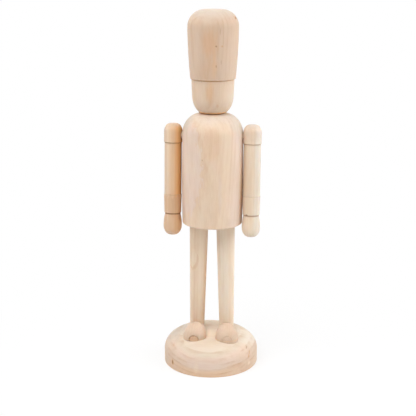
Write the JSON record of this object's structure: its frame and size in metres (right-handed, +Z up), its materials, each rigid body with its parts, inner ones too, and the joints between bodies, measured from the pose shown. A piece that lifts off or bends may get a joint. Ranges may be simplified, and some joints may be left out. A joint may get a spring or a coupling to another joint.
{
  "type": "nutcracker figure",
  "caption": "Unpainted turned-wood nutcracker soldier with a tall flared hat, arms that turn at the shoulders and half-egg feet, standing on a thick round base.",
  "frame": {"origin": "middle of the base's underside", "axes": "+Z up through the hat; the figure looks along -Y and its own right side is at -X"},
  "size_m": [0.0508, 0.0496, 0.185],
  "materials": {
    "base_wood": "pale bare wood, sanded, grain across the disc",
    "foot_wood": "pale bare wood, sanded",
    "right_leg_wood": "bare wood, sanded, upright grain with a small knot",
    "left_leg_wood": "bare wood, sanded, upright grain",
    "torso_wood": "bare wood, sanded, soft arched grain",
    "head_wood": "bare wood, sanded, warmer streak down the front",
    "right_arm_wood": "warmer tan bare wood, sanded",
    "left_arm_wood": "pale bare wood, sanded",
    "dowel_wood": "plain dowel stock"
  },
  "bodies": {
    "figure": {"base": "base_wood", "right_foot": "foot_wood", "left_foot": "foot_wood", "right_leg": "right_leg_wood", "left_leg": "left_leg_wood", "torso": "torso_wood", "head_and_hat": "head_wood", "neck_dowel": "dowel_wood", "right_hip_dowel": "dowel_wood", "left_hip_dowel": "dowel_wood", "right_ankle_dowel": "dowel_wood", "left_ankle_dowel": "dowel_wood"},
    "right_arm": {"right_arm": "right_arm_wood", "right_shoulder_dowel": "dowel_wood"},
    "left_arm": {"left_arm": "left_arm_wood", "left_shoulder_dowel": "dowel_wood"}
  },
  "joints": [
    {"name": "right_shoulder", "type": "hinge", "parent": "figure", "child": "right_arm", "pos_m": [-0.02047, 0.0045, 0.12139], "axis": [1, 0, 0], "continuous": true},
    {"name": "left_shoulder", "type": "hinge", "parent": "figure", "child": "left_arm", "pos_m": [0.02047, 0.0045, 0.12139], "axis": [1, 0, 0], "continuous": true}
  ]
}
